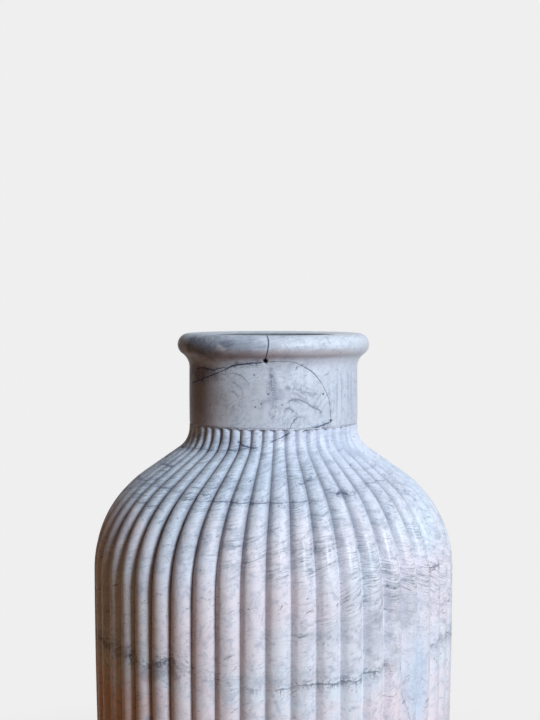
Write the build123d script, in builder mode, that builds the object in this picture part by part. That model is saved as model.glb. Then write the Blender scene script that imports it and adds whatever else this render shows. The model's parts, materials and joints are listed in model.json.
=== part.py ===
from build123d import *
from math import atan2, cos, degrees, radians, sin, sqrt, tan
import os

# Reeded urn vase, cast in a marbled mineral mix: a hollow reeded body, a smooth neck collar bonded
# into its top, a plug that closes the core hole in its base, a watertight lining and felt pads.
# The origin is on the axis, at the height of the surface that the vase stands on, with +Z up.

# Overall sizes, in millimetres and degrees
vase_height = 235.0
belly_radius = 75.0
foot_taper = 3.5
heel_radius = 14.0

# Neck and rim
mouth_radius = 25.0
neck_wall = 10.2
neck_height = 37.0
rim_overhang = 4.9
rim_bead_radius = 4.6
rim_blend_radius = 7.0
lip_chamfer = 1.5

# Shoulder, from the joint line down to the belly
joint_land = 1.5
flare_radius = 10.9
shoulder_slope = 35.0
shoulder_radius = 47.0

# Reeds: the depth is the one at the belly, and the phase turns a crest from the front to the right
reed_count = 48
reed_depth = 2.0
reed_phase = 2.5

# Walls, floor and the hollow inside the body
body_wall = 10.0
floor_thickness = 14.0
throat_gap = 1.5
coat_thickness = 0.8

# Neck joint
spigot_wall = 4.75
spigot_length = 8.0
spigot_clearance = 0.25
glue_line = 0.5
glue_recess = 1.4

# Base plug
core_hole_radius = 34.0
rebate_width = 6.0
rebate_depth = 9.0
plug_clearance = 0.3

# Felt pads
pad_count = 4
pad_radius = 6.0
pad_height = 2.0

# Flat chords that stand for each round stretch, and loft steps down the body's silhouette: land,
# flare, slope, shoulder, side and heel
reed_chord_count = 4
bead_chord_count = 5
blend_chord_count = 3
loft_steps = (1, 2, 1, 3, 1, 2)

# Levels and radii that follow from the sizes above
base_z = pad_height
floor_z = base_z + floor_thickness
ledge_z = base_z + rebate_depth
joint_z = vase_height - neck_height
body_top_z = joint_z - glue_line
spigot_z = joint_z - spigot_length
socket_z = spigot_z - glue_line
neck_radius = mouth_radius + neck_wall
spigot_radius = mouth_radius + spigot_wall
socket_radius = spigot_radius + spigot_clearance
throat_radius = mouth_radius + throat_gap
foot_radius = belly_radius - foot_taper
hollow_radius = foot_radius - body_wall
rebate_radius = core_hole_radius + rebate_width

# The shoulder slope runs straight between two rounded corners, at the neck and at the belly
slope_rate = tan(radians(shoulder_slope))
shoulder_turn = 90.0 - shoulder_slope
corner_tangent = tan(radians(shoulder_turn / 2.0))
neck_corner_z = body_top_z - joint_land - flare_radius * corner_tangent
slope_length = (belly_radius - neck_radius) / cos(radians(shoulder_slope))
slope_length -= (flare_radius + shoulder_radius) * corner_tangent


def slope_inside_z(radius):
    """Level of the inner face of the sloping shoulder wall at a radius."""
    drop = body_wall * sqrt(1.0 + slope_rate**2)
    return neck_corner_z - (radius - neck_radius) * slope_rate - drop


def chord_points(centre, radius, start, stop, chords):
    """Ends of equal chords along an arc, between two angles in degrees."""
    points = []
    for index in range(chords + 1):
        angle = radians(start + (stop - start) * index / chords)
        points.append((centre[0] + radius * cos(angle), centre[1] + radius * sin(angle)))
    return points


def reed_points(crest_radius, crest_angle):
    """Chord ends across one reed: a round crest that falls away to a groove on both sides."""
    half_pitch = 180.0 / reed_count
    depth = reed_depth * crest_radius / belly_radius
    points = []
    for index in range(reed_chord_count):
        across = 2.0 * index / reed_chord_count - 1.0
        radius = crest_radius - depth * across**2
        angle = radians(crest_angle + across * half_pitch)
        points.append((radius * cos(angle), radius * sin(angle)))
    return points


def reed_ring(crest_radius, level):
    """Closed ring of reeds at one level of the body."""
    points = []
    for reed in range(reed_count):
        points += reed_points(crest_radius, reed_phase - 90.0 + reed * 360.0 / reed_count)
    with BuildSketch(Plane.XY.offset(level)) as ring:
        with BuildLine():
            Polyline(*points, close=True)
        make_face()
    return ring.sketch


# Silhouette of the body: a short land under the joint, a flare, a straight slope, a round shoulder,
# a slightly swelling side and a rounded heel
with BuildLine(Plane.XZ) as silhouette:
    land = Line((neck_radius, body_top_z), (neck_radius, body_top_z - joint_land))
    flare = JernArc(land @ 1, land % 1, flare_radius, shoulder_turn)
    slope = PolarLine(flare @ 1, slope_length, direction=flare % 1)
    shoulder = JernArc(slope @ 1, slope % 1, shoulder_radius, -shoulder_turn)
    side = TangentArc(shoulder @ 1, (foot_radius, base_z), tangent=shoulder % 1)
    Line(side @ 1, (0.0, base_z))
    heel = silhouette.vertices().group_by(Axis.Z)[0].sort_by(Axis.X)[-1]
    fillet(heel, heel_radius)

stretches = silhouette.edges()[: len(loft_steps)]
stations = [stretches[0] @ 0]
for stretch, steps in zip(stretches, loft_steps):
    stations += [stretch @ (step / steps) for step in range(1, steps + 1)]
flat_radius = stations[-1].X

# Reeded body, turned out inside: from below, a rebate and a core hole for the plug, the hollow with
# its sloping roof, the throat, and the socket for the neck
with BuildPart() as body_shell:
    for station in stations:
        add(reed_ring(station.X, station.Z))
    loft(ruled=True)
    with BuildSketch(Plane.XZ):
        with BuildLine():
            Polyline(
                (0.0, base_z),
                (rebate_radius, base_z),
                (rebate_radius, ledge_z),
                (core_hole_radius, ledge_z),
                (core_hole_radius, floor_z),
                (hollow_radius, floor_z),
                (hollow_radius, slope_inside_z(hollow_radius)),
                (throat_radius, slope_inside_z(throat_radius)),
                (throat_radius, socket_z),
                (socket_radius, socket_z),
                (socket_radius, body_top_z),
                (0.0, body_top_z),
                close=True,
            )
        make_face()
    revolve(axis=Axis.Z, mode=Mode.SUBTRACT)

# Neck collar: a straight bore with a chamfered lip, a rolled rim that blends into the neck, and a
# spigot that enters the body's socket
bead_centre = (neck_radius + rim_overhang - rim_bead_radius, vase_height - rim_bead_radius)
blend_reach = rim_bead_radius + rim_blend_radius
blend_offset = neck_radius + rim_blend_radius - bead_centre[0]
blend_drop = sqrt(blend_reach**2 - blend_offset**2)
blend_centre = (neck_radius + rim_blend_radius, bead_centre[1] - blend_drop)
blend_angle = degrees(atan2(blend_drop, blend_offset))
with BuildPart() as neck_collar:
    with BuildSketch(Plane.XZ):
        with BuildLine():
            Polyline(
                (spigot_radius, joint_z),
                (spigot_radius, spigot_z),
                (mouth_radius, spigot_z),
                (mouth_radius, vase_height - lip_chamfer),
                (mouth_radius + lip_chamfer, vase_height),
                *chord_points(bead_centre, rim_bead_radius, 90.0, -blend_angle, bead_chord_count),
                *chord_points(
                    blend_centre, rim_blend_radius, 180.0 - blend_angle, 180.0, blend_chord_count
                )[1:],
                (neck_radius, joint_z),
                close=True,
            )
        make_face()
    revolve(axis=Axis.Z)

# Bed of adhesive under the collar, set back from the surface so that the joint shows as a fine line
with BuildPart() as neck_joint_adhesive:
    with BuildSketch(Plane.XY.offset(body_top_z)):
        Circle(neck_radius - glue_recess)
        Circle(socket_radius, mode=Mode.SUBTRACT)
    extrude(amount=glue_line)

# Plug: a flange bonded against the ledge of the rebate, flush with the underside, and a boss that
# is flush with the floor
with BuildPart() as base_plug:
    with BuildSketch(Plane.XY.offset(base_z)):
        Circle(rebate_radius - plug_clearance)
    extrude(amount=rebate_depth)
    with BuildSketch(Plane.XY.offset(ledge_z)):
        Circle(core_hole_radius - plug_clearance)
    extrude(amount=floor_z - ledge_z)

# Watertight coat on the floor and the straight wall of the hollow, up to the shoulder
with BuildPart() as sealing_coat:
    with BuildSketch(Plane.XY.offset(floor_z)):
        Circle(hollow_radius)
    extrude(amount=slope_inside_z(hollow_radius) - floor_z)
    offset(amount=-coat_thickness, openings=sealing_coat.faces().sort_by(Axis.Z)[-1])

# Felt pads on the flat ring between the plug and the heel
pad_pitch_radius = (rebate_radius + flat_radius) / 2.0
with BuildPart() as foot_pads:
    with BuildSketch(Plane.XY):
        with PolarLocations(pad_pitch_radius, pad_count):
            Circle(pad_radius)
    extrude(amount=pad_height)

pieces = {
    "body_shell": body_shell,
    "neck_collar": neck_collar,
    "neck_joint_adhesive": neck_joint_adhesive,
    "base_plug": base_plug,
    "sealing_coat": sealing_coat,
    "foot_pads": foot_pads,
}
os.makedirs("parts", exist_ok=True)
for name, piece in pieces.items():
    piece.part.label = name
    export_step(piece.part, f"parts/{name}.step")
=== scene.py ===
"""Looks of the reeded urn vase: finished pieces, marbled finishes and studio over the CAD frame."""

import json
import logging
import math
from collections.abc import Callable
from dataclasses import dataclass, field
from enum import Enum
from types import SimpleNamespace

import bmesh
import bpy
import numpy as np
from bpy.types import ID, Material, Mesh, Node, NodeSocket, NodeTree, Object
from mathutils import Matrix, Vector, noise

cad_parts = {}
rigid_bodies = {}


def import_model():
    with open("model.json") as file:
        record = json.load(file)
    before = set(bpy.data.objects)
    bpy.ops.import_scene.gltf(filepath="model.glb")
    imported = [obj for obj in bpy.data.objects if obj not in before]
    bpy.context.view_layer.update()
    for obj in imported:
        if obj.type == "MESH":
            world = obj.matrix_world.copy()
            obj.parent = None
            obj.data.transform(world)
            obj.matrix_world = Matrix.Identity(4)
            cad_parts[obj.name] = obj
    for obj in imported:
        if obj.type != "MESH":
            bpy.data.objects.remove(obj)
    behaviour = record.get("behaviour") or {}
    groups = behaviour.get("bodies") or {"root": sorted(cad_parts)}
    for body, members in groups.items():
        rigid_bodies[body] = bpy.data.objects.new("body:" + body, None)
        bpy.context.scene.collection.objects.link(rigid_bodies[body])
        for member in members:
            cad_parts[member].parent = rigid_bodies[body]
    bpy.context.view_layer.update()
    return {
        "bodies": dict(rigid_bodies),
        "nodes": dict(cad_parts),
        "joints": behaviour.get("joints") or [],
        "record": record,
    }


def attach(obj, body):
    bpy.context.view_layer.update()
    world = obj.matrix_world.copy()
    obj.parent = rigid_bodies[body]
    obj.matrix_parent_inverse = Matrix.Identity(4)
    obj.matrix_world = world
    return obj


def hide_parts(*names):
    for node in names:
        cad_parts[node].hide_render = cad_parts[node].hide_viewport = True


LOG = logging.getLogger("urn_vase")
MM = 0.001
Point = tuple[float, float]
Triple = tuple[float, float, float]
Color = tuple[float, float, float]


class Coord(Enum):
    """Attributes that the meshes carry for their materials."""

    GROOVE = "groove"
    LIP = "lip"
    REEDED = "reeded"
    PIT = "pit"


class Slot(Enum):
    """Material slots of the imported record."""

    CAST = "marbled_cast"
    FILLER = "joint_filler"
    FELT = "felt"


@dataclass(frozen=True)
class Wire:
    """An output of a node, which goes into sums like a number.

    Args:
        bench: Bench of the tree that the node is in.
        socket: The output.
    """

    bench: "NodeBench"
    socket: NodeSocket

    def __add__(self, other: "Feed") -> "Wire":
        """Add a value."""
        return self.bench.math("ADD", self, other)

    def __sub__(self, other: "Feed") -> "Wire":
        """Take a value away."""
        return self.bench.math("SUBTRACT", self, other)

    def __rsub__(self, other: float) -> "Wire":
        """Take this away from a number."""
        return self.bench.math("SUBTRACT", other, self)

    def __mul__(self, other: "Feed") -> "Wire":
        """Multiply by a value."""
        return self.bench.math("MULTIPLY", self, other)

    def __truediv__(self, other: "Feed") -> "Wire":
        """Divide by a value."""
        return self.bench.math("DIVIDE", self, other)


Feed = Wire | float | tuple


@dataclass
class NodeBench:
    """A node tree with short ways to place nodes and join them.

    Args:
        tree: The shader or geometry tree that the nodes go in.
    """

    tree: NodeTree

    def node(self, kind: str, fed: dict | tuple = (), **settings: object) -> Node:
        """Place one node.

        Args:
            kind: Type of the node.
            fed: Values of its inputs, in their order, or by name or number.
            settings: Properties of the node.

        Returns:
            The node.
        """
        made = self.tree.nodes.new(kind)
        for name, value in settings.items():
            setattr(made, name, value)
        self.feed(made, fed if isinstance(fed, dict) else dict(enumerate(fed)))
        return made

    def feed(self, node: Node, fed: dict[str | int, Feed]) -> None:
        """Join a node's inputs to outputs, or write plain values in them."""
        for key, value in fed.items():
            if isinstance(value, Wire):
                self.tree.links.new(value.socket, node.inputs[key])
            else:
                node.inputs[key].default_value = value

    def outlets(self, node: Node) -> SimpleNamespace:
        """Give a node's outputs by name."""
        return SimpleNamespace(**{socket.name: Wire(self, socket) for socket in node.outputs})

    def run(self, kind: str, fed: dict | tuple = (), out: str | int = 0, **settings: object) -> Wire:
        """Place one node and give one of its outputs."""
        return Wire(self, self.node(kind, fed, **settings).outputs[out])

    def math(self, operation: str, *values: Feed) -> Wire:
        """Place a Math node and give its result."""
        return self.run("ShaderNodeMath", values, operation=operation)

    def join(self, x: Feed, y: Feed, z: Feed) -> Wire:
        """Make one vector of three values."""
        return self.run("ShaderNodeCombineXYZ", (x, y, z))

    def parts(self, vector: Wire) -> tuple[Wire, ...]:
        """Split a vector in its three values."""
        made = self.node("ShaderNodeSeparateXYZ", (vector,))
        return tuple(Wire(self, socket) for socket in made.outputs)

    def ramp(self, value: Feed, low: Feed, high: Feed, start: Feed = 0.0, stop: Feed = 1.0) -> Wire:
        """Ease from start to stop while a value goes from low to high."""
        fed = (value, low, high, start, stop)
        return self.run("ShaderNodeMapRange", fed, interpolation_type="SMOOTHSTEP")

    def grain(self, vector: Wire, scale: Feed, detail: float = 2.0, rough: float = 0.5,
              swirl: Feed = 0.0, seed: Feed = 0.0) -> Wire:
        """Place a seeded noise texture and give its value from 0 to 1."""
        fed = {"Vector": vector, "W": seed, "Scale": scale, "Detail": detail, "Roughness": rough,
               "Distortion": swirl}
        return self.run("ShaderNodeTexNoise", fed, noise_dimensions="4D")

    def tint(self, amount: Feed, under: Feed, over: Feed) -> Wire:
        """Lay one colour over another and give the mixed colour."""
        return self.run("ShaderNodeMix", {0: amount, 6: under, 7: over}, 2, data_type="RGBA")

    def group(self, tree: NodeTree, **fed: Feed) -> SimpleNamespace:
        """Place a shader group, feed its inputs by name and give its outputs by name."""
        return self.outlets(self.node("ShaderNodeGroup", fed, node_tree=tree))

    def give(self, **fed: Feed) -> NodeTree:
        """Close a shader group with its outputs and give its tree."""
        self.node("NodeGroupOutput", fed)
        return self.tree


def rgb(red: float, green: float, blue: float) -> tuple[float, float, float, float]:
    """Give a display colour from 0 to 255 as the linear colour that sockets take."""
    linear = []
    for channel in (red, green, blue):
        level = channel / 255.0
        linear.append(level / 12.92 if level <= 0.04045 else ((level + 0.055) / 1.055) ** 2.4)
    return (*linear, 1.0)


def open_material(name: str) -> tuple[Material, NodeBench, Node]:
    """Make a material and give it with its bench and its Principled node."""
    material = bpy.data.materials.new(name)
    material.use_nodes = True
    return material, NodeBench(material.node_tree), material.node_tree.nodes["Principled BSDF"]


class SectionPen:
    """Draws the cross-section of a turned piece as radius and height, in millimetres."""

    def __init__(self, radius: float, height: float) -> None:
        """Start the section at one point."""
        self.points: list[Point] = [(radius, height)]

    def line(self, radius: float, height: float, steps: int = 1) -> "SectionPen":
        """Go straight to a point, in equal steps."""
        start = self.points[-1]
        for index in range(1, steps + 1):
            share = index / steps
            self.points.append((start[0] + (radius - start[0]) * share,
                                start[1] + (height - start[1]) * share))
        return self

    def arc(self, centre: Point, radius: float, start: float, stop: float, steps: int) -> "SectionPen":
        """Go round an arc between two angles in degrees, from where the pen already is."""
        for index in range(1, steps + 1):
            angle = math.radians(start + (stop - start) * index / steps)
            self.points.append((centre[0] + radius * math.cos(angle),
                                centre[1] + radius * math.sin(angle)))
        return self


def turned_mesh(name: str, section: list[Point], angles: np.ndarray) -> Mesh:
    """Turn a closed section round the Z axis into a closed, smooth mesh.

    Args:
        name: Name of the mesh.
        section: Points of the closed section, in millimetres.
        angles: Angle of each column of points, in radians.

    Returns:
        The mesh in metres, with its rows in the order of the section.
    """
    radii, heights = np.array(section).T * MM
    rows, columns = len(section), len(angles)
    places = np.stack([np.outer(radii, np.cos(angles)), np.outer(radii, np.sin(angles)),
                       np.repeat(heights[:, None], columns, axis=1)], axis=2)
    row, column = np.divmod(np.arange(rows * columns), columns)
    after, below = (column + 1) % columns, (row + 1) % rows
    faces = np.stack([row * columns + column, below * columns + column,
                      below * columns + after, row * columns + after], axis=1)
    mesh = bpy.data.meshes.new(name)
    mesh.from_pydata(places.reshape(-1, 3).tolist(), [], faces.tolist())
    work = bmesh.new()
    work.from_mesh(mesh)
    bmesh.ops.remove_doubles(work, verts=work.verts, dist=1e-7)
    bmesh.ops.recalc_face_normals(work, faces=work.faces)
    for face in work.faces:
        face.smooth = True
    work.to_mesh(mesh)
    work.free()
    return mesh


def even_angles(columns: int) -> np.ndarray:
    """Give equal angles round the axis, in radians."""
    return np.linspace(-math.pi, math.pi, columns, endpoint=False)


def roughen(mesh: Mesh, reach: float, waves: tuple[Point, ...],
            chosen: Callable[[Vector], bool]) -> None:
    """Push points of a mesh in and out from the axis by a fixed noise.

    Args:
        mesh: The mesh.
        reach: Size of the push, in millimetres.
        waves: Scale and share of each noise that is added up.
        chosen: Says of a place whether it is pushed.
    """
    for point in mesh.vertices:
        place = Vector(point.co)
        if chosen(place):
            push = sum(noise.noise(place * scale) * share for scale, share in waves)
            point.co += Vector((place.x, place.y, 0.0)).normalized() * (push * reach * MM)


def add_object(name: str, data: ID) -> Object:
    """Put a mesh, light or camera in the scene as an object at the origin."""
    piece = bpy.data.objects.new(name, data)
    bpy.context.scene.collection.objects.link(piece)
    return piece


def write_values(mesh: Mesh, name: Coord, values: np.ndarray) -> None:
    """Store one number for each point of a mesh."""
    layer = mesh.attributes.new(name.value, "FLOAT", "POINT")
    layer.data.foreach_set("value", values.astype(np.float32))


@dataclass
class GeometryRecipe:
    """A Geometry Nodes tree under construction, with its named inputs.

    Args:
        name: Name of the tree.
    """

    name: str
    values: dict[str, object] = field(default_factory=dict)

    def __post_init__(self) -> None:
        """Make the tree with its geometry sockets."""
        self.tree = bpy.data.node_groups.new(self.name, "GeometryNodeTree")
        self.bench = NodeBench(self.tree)
        for way in ("INPUT", "OUTPUT"):
            self.tree.interface.new_socket("geometry", in_out=way, socket_type="NodeSocketGeometry")
        self.entry = self.bench.node("NodeGroupInput")
        self.geometry = Wire(self.bench, self.entry.outputs[0])

    def sizes(self, **values: float) -> SimpleNamespace:
        """Add named inputs with their values, whole or not, and give them by name."""
        for name, value in values.items():
            kind = "NodeSocketInt" if isinstance(value, int) else "NodeSocketFloat"
            self.tree.interface.new_socket(name, in_out="INPUT", socket_type=kind)
        self.values.update(values)
        return self.bench.outlets(self.entry)

    def store(self, geometry: Wire, name: Coord, value: Wire) -> Wire:
        """Keep a value on each point of a geometry."""
        fed = {"Geometry": geometry, "Name": name.value, "Value": value}
        return self.bench.run("GeometryNodeStoreNamedAttribute", fed, data_type="FLOAT", domain="POINT")

    def make(self, geometry: Wire, piece: Object, material: Material) -> None:
        """End the tree in real geometry with its material, run it and keep the result as a plain mesh."""
        bench = self.bench
        self.tree.interface.new_socket("material", in_out="INPUT", socket_type="NodeSocketMaterial")
        self.values["material"] = material
        real = bench.run("GeometryNodeRealizeInstances", (geometry,))
        finish = bench.outlets(self.entry).material
        dressed = bench.run("GeometryNodeSetMaterial", {"Geometry": real, "Material": finish})
        bench.node("NodeGroupOutput", (dressed,))
        modifier = piece.modifiers.new(self.name, "NODES")
        modifier.node_group = self.tree
        for item in self.tree.interface.items_tree:
            if item.in_out == "INPUT" and item.name in self.values:
                modifier[item.identifier] = self.values[item.name]
        graph = bpy.context.evaluated_depsgraph_get()
        made = bpy.data.meshes.new_from_object(piece.evaluated_get(graph))
        piece.modifiers.remove(modifier)
        for face in made.polygons:
            face.use_smooth = True
        piece.data = made


@dataclass
class ReededBody:
    """The cast hollow body with its reeds, from the neck joint to the foot.

    Sizes are millimetres and degrees, as in the part's source.
    """

    foot_z: float = 2.0
    top_z: float = 197.5
    land_z: float = 196.0
    neck_radius: float = 35.2
    flare_radius: float = 10.9
    shoulder_slope: float = 35.0
    shoulder_radius: float = 47.0
    belly_radius: float = 75.0
    belly_z: float = 137.99
    side_foot: Point = (72.15, 15.35)
    side_steps: int = 24
    heel_radius: float = 14.0
    heel_inset: float = 0.9986
    heel_start: float = -2.66
    edge_round: float = 0.4
    # Radius, height and steps of the hidden side, from under the foot to the land round the socket
    inner_side: tuple[tuple[float, float, int], ...] = (
        (52.0, 2.0, 1), (40.0, 2.0, 1), (40.0, 11.0, 1), (34.0, 11.0, 1), (34.0, 16.0, 1), (61.5, 16.0, 1),
        (61.5, 159.7, 3), (26.5, 184.2, 2), (26.5, 189.5, 1), (30.0, 189.5, 1), (30.0, 197.5, 1),
        (33.9, 197.5, 1),
    )
    reed_count: int = 48
    reed_depth: float = 2.4
    reed_phase: float = 2.5
    # Share of the depth on the side and on the shoulder, and the heights between which it changes
    depth_shares: Point = (0.92, 1.5)
    depth_heights: Point = (105.0, 168.0)
    # Turn of the reeds up to the lower of two heights and at the upper, which lies above the body
    turns: Point = (-1.28, 1.6)
    turn_heights: Point = (150.0, 216.0)
    # Rounded face and straight flank on the left of a reed, across half its width
    face_curve: float = 0.3
    flank_slope: float = 0.76
    flank_start: float = 0.44
    flank_blend: float = 0.06
    waver: float = 0.16
    waver_scale: float = 13.0
    unevenness: float = 0.12
    unevenness_scale: float = 22.0
    seed: float = 4.0
    # Where the painted highlight along a reed's right edge begins and is full, in reed widths right of the
    # crest
    lip_band: Point = (0.37, 0.46)
    # Columns of the mesh over half a reed, closer together beside the groove
    across_steps: tuple[float, ...] = (0.0, 0.2, 0.36, 0.46, 0.56, 0.76, 0.94)

    def column_angles(self) -> np.ndarray:
        """Give the angles of the mesh columns."""
        steps = [-1.0] + [-step for step in reversed(self.across_steps[1:])] + list(self.across_steps)
        half_pitch = 180.0 / self.reed_count
        angles = []
        for reed in range(self.reed_count):
            crest = self.reed_phase - 90.0 + 2.0 * half_pitch * reed
            angles += [crest + half_pitch * step for step in steps]
        return np.radians(np.array(angles))

    def section(self) -> tuple[list[Point], int]:
        """Draw the closed section of the wall.

        Returns:
            The points, and how many of them from the first carry reeds.
        """
        turn = 90.0 - self.shoulder_slope
        edge = self.edge_round
        flare_centre = (self.neck_radius + self.flare_radius, self.land_z)
        shoulder_centre = (self.belly_radius - self.shoulder_radius, self.belly_z)
        slope_end = (shoulder_centre[0] + self.shoulder_radius * math.cos(math.radians(turn)),
                     shoulder_centre[1] + self.shoulder_radius * math.sin(math.radians(turn)))
        heel_centre = (self.side_foot[0] - self.heel_radius * self.heel_inset,
                       self.foot_z + self.heel_radius)
        pen = SectionPen(self.neck_radius - edge, self.top_z)
        pen.arc((self.neck_radius - edge, self.top_z - edge), edge, 90.0, 0.0, steps=3)
        pen.line(self.neck_radius, self.land_z, steps=2)
        pen.arc(flare_centre, self.flare_radius, 180.0, 180.0 + turn, steps=12)
        pen.line(*slope_end, steps=11)
        pen.arc(shoulder_centre, self.shoulder_radius, turn, 0.0, steps=24)
        drop = self.belly_z - self.side_foot[1]
        inset = self.belly_radius - self.side_foot[0]
        sweep = (drop**2 + inset**2) / (2.0 * inset)
        for index in range(1, self.side_steps + 1):
            fall = drop * index / self.side_steps
            pen.line(self.belly_radius - sweep + math.sqrt(sweep**2 - fall**2), self.belly_z - fall)
        pen.arc(heel_centre, self.heel_radius, self.heel_start, -90.0, steps=10)
        reeded = len(pen.points)
        for radius, height, steps in self.inner_side:
            pen.line(radius, height, steps)
        return pen.points, reeded

    def press_reeds(self, body: Object, material: Material) -> None:
        """Press the grooves in, turn the reeds a little and waver them."""
        recipe = GeometryRecipe("reeding")
        bench = recipe.bench
        read = recipe.sizes(
            count=self.reed_count, depth=self.reed_depth * MM, curve=self.face_curve,
            slope=self.flank_slope, start=self.flank_start, belly=self.belly_radius * MM,
            phase=math.radians(self.reed_phase - 90.0), turn_low=math.radians(self.turns[0]),
            turn_top=math.radians(self.turns[1]), waver=math.radians(self.waver),
            unevenness=self.unevenness, share_low=self.depth_shares[0], share_top=self.depth_shares[1],
            seed=self.seed)
        place = bench.run("GeometryNodeInputPosition")
        named = {"Name": Coord.REEDED.value}
        reeded = bench.run("GeometryNodeInputNamedAttribute", named, data_type="FLOAT")
        x, y, z = bench.parts(place)
        angle = bench.math("ARCTAN2", y, x)
        radius = bench.math("POWER", x * x + y * y, 0.5)
        pitches = (angle - read.phase) * read.count / (2.0 * math.pi)
        offset = bench.math("FRACT", pitches + 0.5) - 0.5
        across = bench.math("ABSOLUTE", offset) * 2.0
        rounded = across * across
        flank = (across - read.start) * read.slope
        pressed = bench.math("SMOOTH_MAX", rounded * read.curve, flank, self.flank_blend)
        crisp = pressed / ((1.0 - read.start) * read.slope)
        hollow = bench.ramp(offset, -0.01, 0.01, crisp, rounded)
        uneven = bench.grain(place, self.unevenness_scale, 1.0, seed=read.seed) - 0.5
        share = uneven * (read.unevenness * 2.0) + 1.0
        low, high = (height * MM for height in self.depth_heights)
        depth = read.depth * bench.ramp(z, low, high, read.share_low, read.share_top)
        fall = depth * (radius / read.belly) * (hollow * (reeded * share))
        low, high = (height * MM for height in self.turn_heights)
        turn = bench.ramp(z, low, high, read.turn_low, read.turn_top)
        lean = bench.grain(place, self.waver_scale, 1.0, seed=read.seed + 7.0) - 0.5
        swing = lean * (read.waver * 4.0)
        turned = angle + reeded * (turn + swing)
        reach = radius - fall
        moved = bench.join(reach * bench.math("COSINE", turned), reach * bench.math("SINE", turned), z)
        marked = recipe.store(recipe.geometry, Coord.GROOVE, across * reeded)
        marked = recipe.store(marked, Coord.LIP, bench.ramp(offset, *self.lip_band) * reeded)
        shifted = bench.run("GeometryNodeSetPosition", {"Geometry": marked, "Position": moved})
        recipe.make(shifted, body, material)

    def build(self, material: Material) -> Object:
        """Turn the wall, press the reeds in and give the body."""
        points, reeded_rows = self.section()
        angles = self.column_angles()
        mesh = turned_mesh("reeded_body", points, angles)
        reeded = np.zeros((len(points), len(angles)))
        reeded[:reeded_rows] = 1.0
        write_values(mesh, Coord.REEDED, reeded.reshape(-1))
        body = add_object("reeded_body", mesh)
        self.press_reeds(body, material)
        return body


@dataclass
class RolledNeck:
    """The smooth neck collar with its rolled rim, bore and hidden spigot, in millimetres."""

    joint_z: float = 198.0
    top_z: float = 235.0
    neck_radius: float = 35.2
    bore_radius: float = 25.0
    seat_radius: float = 33.0
    spigot_radius: float = 29.75
    spigot_z: float = 190.0
    bead_centre: Point = (35.5, 230.4)
    bead_radius: float = 4.6
    blend_centre: Point = (42.2, 220.93)
    blend_radius: float = 7.0
    blend_angle: float = 54.7
    lip: float = 1.5
    lip_drop: float = 0.5
    # Radius, drop below the top and steps of the almost flat rim, from the lip to the bead
    rim_points: tuple[tuple[float, float, int], ...] = ((30.0, 0.12, 3), (34.0, 0.02, 4))
    edge_round: float = 0.4
    columns: int = 576
    waver: float = 0.12
    waver_scale: float = 45.0
    waver_above: float = 0.5
    # Degrees right of the front, height, radius and depth of each air hole
    pinholes: tuple[tuple[float, float, float, float], ...] = (
        (-5.2, 225.0, 1.0, 1.5), (41.0, 200.5, 0.62, 0.9),
    )

    def section(self) -> list[Point]:
        """Draw the closed section of the collar."""
        edge = self.edge_round
        lip_z = self.top_z - self.lip - self.lip_drop
        pen = SectionPen(self.spigot_radius, self.joint_z)
        pen.line(self.spigot_radius, self.spigot_z).line(self.bore_radius, self.spigot_z)
        pen.line(self.bore_radius, lip_z, steps=16)
        pen.arc((self.bore_radius + self.lip, lip_z), self.lip, 180.0, 95.0, steps=6)
        for radius, drop, steps in self.rim_points:
            pen.line(radius, self.top_z - drop, steps)
        pen.line(self.bead_centre[0], self.top_z)
        pen.arc(self.bead_centre, self.bead_radius, 90.0, -self.blend_angle, steps=26)
        pen.arc(self.blend_centre, self.blend_radius, 180.0 - self.blend_angle, 180.0, steps=14)
        pen.line(self.neck_radius, self.joint_z + edge, steps=44)
        pen.arc((self.neck_radius - edge, self.joint_z + edge), edge, 0.0, -90.0, steps=3)
        pen.line(self.seat_radius, self.joint_z)
        return pen.points

    def press_pinholes(self, mesh: Mesh) -> None:
        """Press the larger air holes of the casting into the outer surface."""
        places = np.empty(len(mesh.vertices) * 3, np.float32)
        mesh.vertices.foreach_get("co", places)
        places = places.reshape(-1, 3).astype(float)
        radius = np.hypot(places[:, 0], places[:, 1])
        angle = np.degrees(np.arctan2(places[:, 0], -places[:, 1]))
        outer = radius > self.seat_radius * MM
        pit = np.zeros(len(places))
        for hole_angle, hole_z, hole_radius, hole_depth in self.pinholes:
            off_side = np.radians(angle - hole_angle) * radius / MM
            off_up = places[:, 2] / MM - hole_z
            off = np.hypot(off_side, off_up) / hole_radius
            sink = outer * np.clip(1.0 - off**2, 0.0, 1.0) ** 0.6
            places[:, :2] *= (1.0 - sink * hole_depth * MM / radius)[:, None]
            # The dark of a hole is full up to 0.75 of its radius and gone at 1.25 of it
            pit = np.maximum(pit, np.clip(1.25 - off, 0.0, 0.5) * 2.0 * outer)
        mesh.vertices.foreach_set("co", places.reshape(-1).astype(np.float32))
        write_values(mesh, Coord.PIT, pit)
        mesh.update()

    def build(self, material: Material) -> Object:
        """Turn the collar, waver its surface like a casting and press its air holes."""
        mesh = turned_mesh("rolled_neck", self.section(), even_angles(self.columns))
        lowest = (self.joint_z + self.waver_above) * MM
        roughen(mesh, self.waver, ((self.waver_scale, 1.0),), lambda place: place.z > lowest)
        self.press_pinholes(mesh)
        mesh.materials.append(material)
        return add_object("rolled_neck", mesh)


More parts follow.
